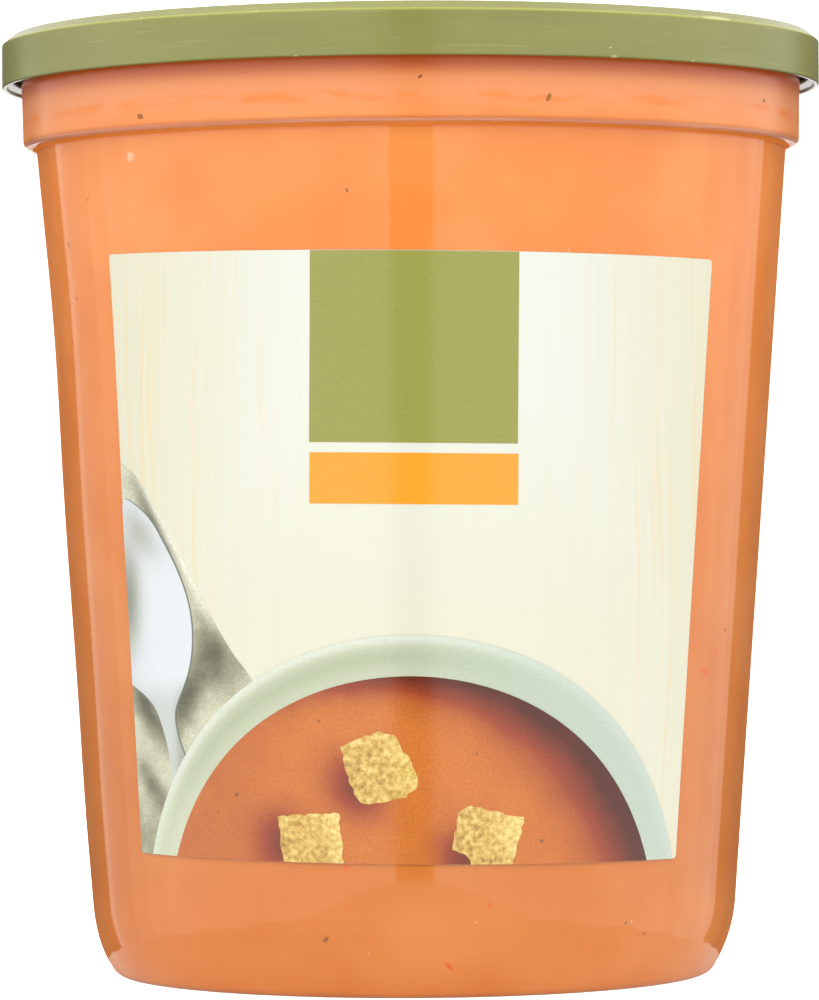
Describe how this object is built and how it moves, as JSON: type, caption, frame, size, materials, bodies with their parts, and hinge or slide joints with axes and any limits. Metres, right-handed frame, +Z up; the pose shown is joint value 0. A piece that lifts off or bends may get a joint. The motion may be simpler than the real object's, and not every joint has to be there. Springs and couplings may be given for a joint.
{
  "type": "tub of tomato soup",
  "caption": "Round clear plastic tub filled with creamy tomato soup, with a press-on lid and a curved front label.",
  "frame": {"origin": "middle of the foot, on the surface that the tub stands on", "axes": "+Z up along the tub's axis, -Y out of the label, +X to the right when the label is faced"},
  "size_m": [0.1164, 0.1164, 0.1334],
  "materials": {
    "clear_plastic": "clear gloss",
    "soup": "smooth creamy liquid",
    "lid_plastic": "satin",
    "label_film": "coated print, satin"
  },
  "bodies": {
    "root": {"tub": "clear_plastic", "soup": "soup", "lid": "lid_plastic", "label": "label_film"}
  },
  "joints": []
}
